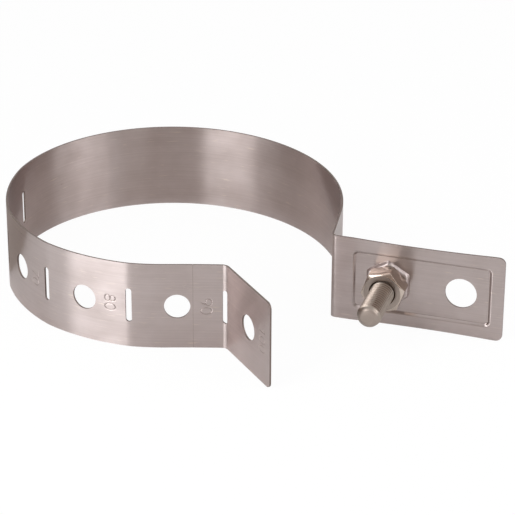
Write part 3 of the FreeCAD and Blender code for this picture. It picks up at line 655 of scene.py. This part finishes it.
class CLAMP_OT_bolt(bpy.types.Operator):
    """Rolls the thread of the bolt and joins its head."""
    bl_idname = "clamp.bolt"
    bl_label = "Bolt"

    def execute(self, context):
        sizes = context.scene.clamp_bolt_sizes
        colours = context.scene.clamp_colours
        axis_x = (BOLT_LOW[0] + BOLT_HIGH[0]) / 2
        axis_z = (BOLT_LOW[2] + BOLT_HIGH[2]) / 2
        tip = BOLT_LOW[1]
        under_head = tip + BOLT_LENGTH
        crest, root, pitch = sizes.crest_diameter / 2, sizes.root_diameter / 2, sizes.pitch
        bm = bmesh.new()
        start = tip - 2 * pitch
        # One tooth of the thread, as radius and share of the pitch: flat root, flank, crest, flank
        tooth = [(root, 0), (root, 0.1), (crest, 0.4), (crest, 0.68), (root, 1.0)]
        verts = [bm.verts.new((axis_x + r, start + t * pitch, axis_z)) for r, t in tooth]
        edges = [bm.edges.new(pair) for pair in zip(verts, verts[1:])]
        turns = math.ceil((under_head - start) / pitch) + 1
        steps = sizes.turn_steps * turns
        bmesh.ops.spin(bm, geom=verts + edges, cent=(axis_x, 0, axis_z), axis=(0, 1, 0),
                       dvec=(0, pitch / sizes.turn_steps, 0), angle=2 * math.pi * turns, steps=steps,
                       use_merge=False)
        bmesh.ops.remove_doubles(bm, verts=bm.verts[:], dist=SNAP)
        ends = (tip, under_head + HEAD_OVERLAP)
        for at, outwards in zip(ends, (-1, 1)):
            bmesh.ops.bisect_plane(bm, geom=bm.verts[:] + bm.edges[:] + bm.faces[:], dist=WELD / 10,
                                   plane_co=(0, at, 0), plane_no=(0, outwards, 0), clear_outer=True)
        for vert in bm.verts:
            out = Vector((vert.co.x - axis_x, vert.co.z - axis_z))
            limit = sizes.tip_diameter / 2 + (vert.co.y - tip) * TIP_SLOPE
            if out.length > limit:
                out *= limit / out.length
                vert.co.x = axis_x + out.x
                vert.co.z = axis_z + out.y
        rims = [e for e in bm.edges if e.is_boundary
                and all(min(abs(v.co.y - at) for at in ends) < SNAP for v in e.verts)]
        bmesh.ops.holes_fill(bm, edges=rims, sides=0)
        bmesh.ops.recalc_face_normals(bm, faces=bm.faces[:])
        head = merged_copy("hex_bolt")
        shank = [vert for vert in head.verts if vert.co.y < under_head - pitch / 4]
        bmesh.ops.delete(head, geom=shank, context="VERTS")
        bmesh.ops.holes_fill(head, edges=[e for e in head.edges if e.is_boundary], sides=0)
        soften(head, sizes.edge, ROUNDED)
        mesh = bpy.data.meshes.new("head")
        head.to_mesh(mesh)
        head.free()
        bm.from_mesh(mesh)
        bpy.data.meshes.remove(mesh)
        steel = bright_stainless("rolled_stainless_bolt", colours.bolt, smoothest=0.2, dullest=0.24)
        piece = finish_piece("threaded_bolt", bm, steel)
        piece.data.materials.append(
            bright_stainless("cropped_stainless_bolt_end", colours.bolt_end, smoothest=0.4, dullest=0.5))
        piece.data.materials.append(
            bright_stainless("thread_valleys_painted_shade", colours.valley_shade, smoothest=0.3, dullest=0.38))
        # Flanks and roots below the crests get the darker colour: painted shade in the thread's valleys
        for polygon in piece.data.polygons:
            x, y, z = polygon.center
            if y < tip + END_LENGTH:
                polygon.material_index = CROPPED
            elif y < under_head and math.hypot(x - axis_x, z - axis_z) < crest - VALLEY_DEPTH:
                polygon.material_index = SHADED_VALLEY
        piece.data.set_sharp_from_angle(angle=THREAD_SHARP)
        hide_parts("hex_bolt")
        return {"FINISHED"}


class CLAMP_OT_nut(bpy.types.Operator):
    """Makes the nut with its edges softened."""
    bl_idname = "clamp.nut"
    bl_label = "Nut"

    def execute(self, context):
        sizes = context.scene.clamp_bolt_sizes
        colours = context.scene.clamp_colours
        bm = merged_copy("hex_nut")
        soften(bm, sizes.edge, ROUNDED)
        steel = bright_stainless("pressed_stainless_nut", colours.nut, smoothest=0.18, dullest=0.2)
        piece = finish_piece("hexagon_nut", bm, steel)
        piece.data.materials.append(
            bright_stainless("turned_stainless_nut_face", colours.bolt_end, smoothest=0.36, dullest=0.44))
        for polygon in piece.data.polygons:
            if abs(polygon.normal.y) > FACE_ON:
                polygon.material_index = TURNED
        piece.data.set_sharp_from_angle(angle=SHARP)
        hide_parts("hex_nut")
        return {"FINISHED"}


# Angles of the camera and of the curtains in degrees, lens and sensor in millimetres, places and sizes in metres
CAMERA_PLACE = (0.2505, -0.7091, 0.3812)
CAMERA_TURN = (63.421, -0.213, 17.276)
CAMERA_LENS, CAMERA_SENSOR, CAMERA_NEAR = 171.08, 36.0, 0.01
FLOOR_SIZE = 3.0
CURTAIN_RADIUS, CURTAIN_STEPS = 0.5, 24
CURTAINS = ((22, 80, 0.45, "cloth"), (134, 205, 0.5, "card"))
MAT_RADIUS, MAT_HEIGHT, MAT_STEPS = 0.052, 0.0002, 48
MAT_CORNERS = ((-0.4, -0.12), (-0.056, -0.02), (-0.056, 0.1), (-0.4, 0.2))
CARD_LEFT, CARD_RIGHT, CARD_FRONT, CARD_HEIGHT = -0.035, 0.42, -0.282, 0.28
# Each lamp's name, place, width, height and power in watts
LAMPS = (("key", (-0.164, -0.316, 0.26), 0.24, 0.5, 1.3), ("side", (0.48, 0.0, 0.3), 0.42, 0.4, 1.2))
SKY_STRENGTH, BACKDROP_STRENGTH = 0.6, 1.0


def shown_white(tree, to_camera, to_steel):
    """How much plain white the camera's own rays and mirrored rays get in place of the light that falls there."""
    rays = node(tree, "ShaderNodeLightPath")
    mirrored = node(tree, "ShaderNodeMath", [
        (0, rays.outputs["Is Glossy Ray"]), (1, rays.outputs["Is Transmission Ray"])], operation="MAXIMUM")
    mirrored = node(tree, "ShaderNodeMath", [(0, mirrored.outputs["Value"])], operation="MULTIPLY", in_1=to_steel)
    seen = node(tree, "ShaderNodeMath", [(0, rays.outputs["Is Camera Ray"])], operation="MULTIPLY", in_1=to_camera)
    return node(tree, "ShaderNodeMath", [(0, mirrored.outputs["Value"]), (1, seen.outputs["Value"])],
                operation="MAXIMUM")


def stage_piece(name, bm, material):
    """A floor or a studio wall."""
    mesh = bpy.data.meshes.new(name)
    bm.to_mesh(mesh)
    bm.free()
    mesh.materials.append(material)
    piece = bpy.data.objects.new(name, mesh)
    bpy.context.scene.collection.objects.link(piece)
    return piece


def pale_floor(colour):
    """White paper: shows as the white background, and keeps some of its own shading for the shadow."""
    material, tree, output = new_material("white_paper_floor")
    matt = node(tree, "ShaderNodeBsdfDiffuse", in_Color=linear(colour))
    white = node(tree, "ShaderNodeEmission", in_Color=linear(colour), in_Strength=1.0)
    share = shown_white(tree, to_camera=0.95, to_steel=0.0)
    mixed = node(tree, "ShaderNodeMixShader", [
        ("Fac", share.outputs["Value"]), (1, matt.outputs["BSDF"]), (2, white.outputs["Emission"])])
    tree.links.new(mixed.outputs["Shader"], output.inputs["Surface"])
    return material


def matt_sheet(name, colour):
    """Matt cloth or paper of the studio, which the steel mirrors as its darker bands."""
    material, tree, output = new_material(name)
    matt = node(tree, "ShaderNodeBsdfDiffuse", in_Color=linear(colour))
    tree.links.new(matt.outputs["BSDF"], output.inputs["Surface"])
    return material


class CLAMP_OT_stage(bpy.types.Operator):
    """Sets the camera, the lamps, the pale floor, and the cloth, card and mats that the steel mirrors; the mat in
    the ring is painted shade of the floor there.
    """
    bl_idname = "clamp.stage"
    bl_label = "Stage"

    def execute(self, context):
        scene = context.scene
        colours = scene.clamp_colours
        camera = bpy.data.objects.new("camera", bpy.data.cameras.new("camera"))
        scene.collection.objects.link(camera)
        camera.data.sensor_fit = "HORIZONTAL"
        camera.data.sensor_width = CAMERA_SENSOR
        camera.data.lens = CAMERA_LENS
        camera.data.clip_start = CAMERA_NEAR
        camera.location = CAMERA_PLACE
        camera.rotation_euler = [math.radians(turn) for turn in CAMERA_TURN]
        scene.camera = camera
        scene.view_settings.view_transform = "Standard"
        bm = bmesh.new()
        bmesh.ops.create_grid(bm, x_segments=2, y_segments=2, size=FLOOR_SIZE)
        stage_piece("floor", bm, pale_floor(colours.floor))
        sheets = {"cloth": matt_sheet("grey_studio_cloth", colours.cloth),
                  "card": matt_sheet("pale_studio_card", colours.card)}
        mirrored = []
        for first, last, height, kind in CURTAINS:
            bm = bmesh.new()
            start = heading(math.radians(first)) * CURTAIN_RADIUS
            line = [bm.verts.new(start), bm.verts.new(start + Vector((0, 0, height)))]
            bmesh.ops.spin(bm, geom=line + [bm.edges.new(line)], cent=(0, 0, 0), axis=(0, 0, 1),
                           angle=math.radians(last - first), steps=CURTAIN_STEPS, use_merge=False)
            mirrored.append(stage_piece(f"curtain_{first}", bm, sheets[kind]))
        bm = bmesh.new()
        line = [bm.verts.new((x, CARD_FRONT, 0)) for x in (CARD_LEFT, CARD_RIGHT)]
        sides = bmesh.ops.extrude_edge_only(bm, edges=[bm.edges.new(line)])["geom"]
        raised = [part for part in sides if isinstance(part, bmesh.types.BMVert)]
        bmesh.ops.translate(bm, verts=raised, vec=(0, 0, CARD_HEIGHT))
        mirrored.append(stage_piece("card", bm, sheets["card"]))
        # A grey disc in the ring that only reflections see: painted shade of the floor inside the ring
        bm = bmesh.new()
        bmesh.ops.create_circle(bm, cap_ends=True, segments=MAT_STEPS, radius=MAT_RADIUS)
        bmesh.ops.translate(bm, verts=bm.verts[:], vec=(0, 0, MAT_HEIGHT))
        mirrored.append(stage_piece("mat_in_ring", bm, matt_sheet("ring_floor_shade_sheet", colours.mat)))
        bm = bmesh.new()
        bm.faces.new([bm.verts.new((x, y, MAT_HEIGHT)) for x, y in MAT_CORNERS])
        mirrored.append(stage_piece("mat_beside_ring", bm, matt_sheet("grey_paper_mat", colours.side_mat)))
        for piece in mirrored:
            piece.visible_camera = False
            piece.visible_diffuse = False
            piece.visible_shadow = False
        world = bpy.data.worlds.new("studio")
        scene.world = world
        world.use_nodes = True
        tree = world.node_tree
        tree.nodes.clear()
        sky = node(tree, "ShaderNodeBackground", in_Color=linear(colours.floor), in_Strength=SKY_STRENGTH)
        backdrop = node(tree, "ShaderNodeBackground", in_Color=linear(colours.floor), in_Strength=BACKDROP_STRENGTH)
        share = shown_white(tree, to_camera=1.0, to_steel=1.0)
        mixed = node(tree, "ShaderNodeMixShader", [
            ("Fac", share.outputs["Value"]), (1, sky.outputs["Background"]), (2, backdrop.outputs["Background"])])
        node(tree, "ShaderNodeOutputWorld", [("Surface", mixed.outputs["Shader"])])
        for name, place, width, height, power in LAMPS:
            lamp = bpy.data.objects.new(name, bpy.data.lights.new(name, "AREA"))
            lamp.data.shape = "RECTANGLE"
            lamp.data.size = width
            lamp.data.size_y = height
            lamp.data.energy = power
            lamp.matrix_world = (Matrix.Translation(place)
                                 @ Vector((-place[0], -place[1], 0)).to_track_quat("-Z", "Y").to_matrix().to_4x4())
            scene.collection.objects.link(lamp)
        return {"FINISHED"}


class CLAMP_PT_panel(bpy.types.Panel):
    """Lists the clamp's sizes and the steps that make it."""
    bl_idname = "CLAMP_PT_panel"
    bl_label = "Downpipe clamp"
    bl_space_type = "VIEW_3D"
    bl_region_type = "UI"
    bl_category = "Clamp"

    def draw(self, context):
        for operator in OPERATORS:
            self.layout.operator(operator.bl_idname)
        for name in GROUPS:
            group = getattr(context.scene, name)
            for prop in group.__annotations__:
                self.layout.prop(group, prop)


GROUPS = {"clamp_strip_sizes": ClampStripSizes, "clamp_bolt_sizes": ClampBoltSizes, "clamp_colours": ClampColours}
OPERATORS = (CLAMP_OT_strip, CLAMP_OT_bolt, CLAMP_OT_nut, CLAMP_OT_stage)


def register():
    for cls in (*GROUPS.values(), *OPERATORS, CLAMP_PT_panel):
        bpy.utils.register_class(cls)
    for name, group in GROUPS.items():
        setattr(bpy.types.Scene, name, PointerProperty(type=group))


def unregister():
    for name in GROUPS:
        delattr(bpy.types.Scene, name)
    for cls in reversed((*GROUPS.values(), *OPERATORS, CLAMP_PT_panel)):
        bpy.utils.unregister_class(cls)


def main():
    register()
    bpy.ops.clamp.strip()
    bpy.ops.clamp.bolt()
    bpy.ops.clamp.nut()
    bpy.ops.clamp.stage()


if __name__ == "__main__":
    main()
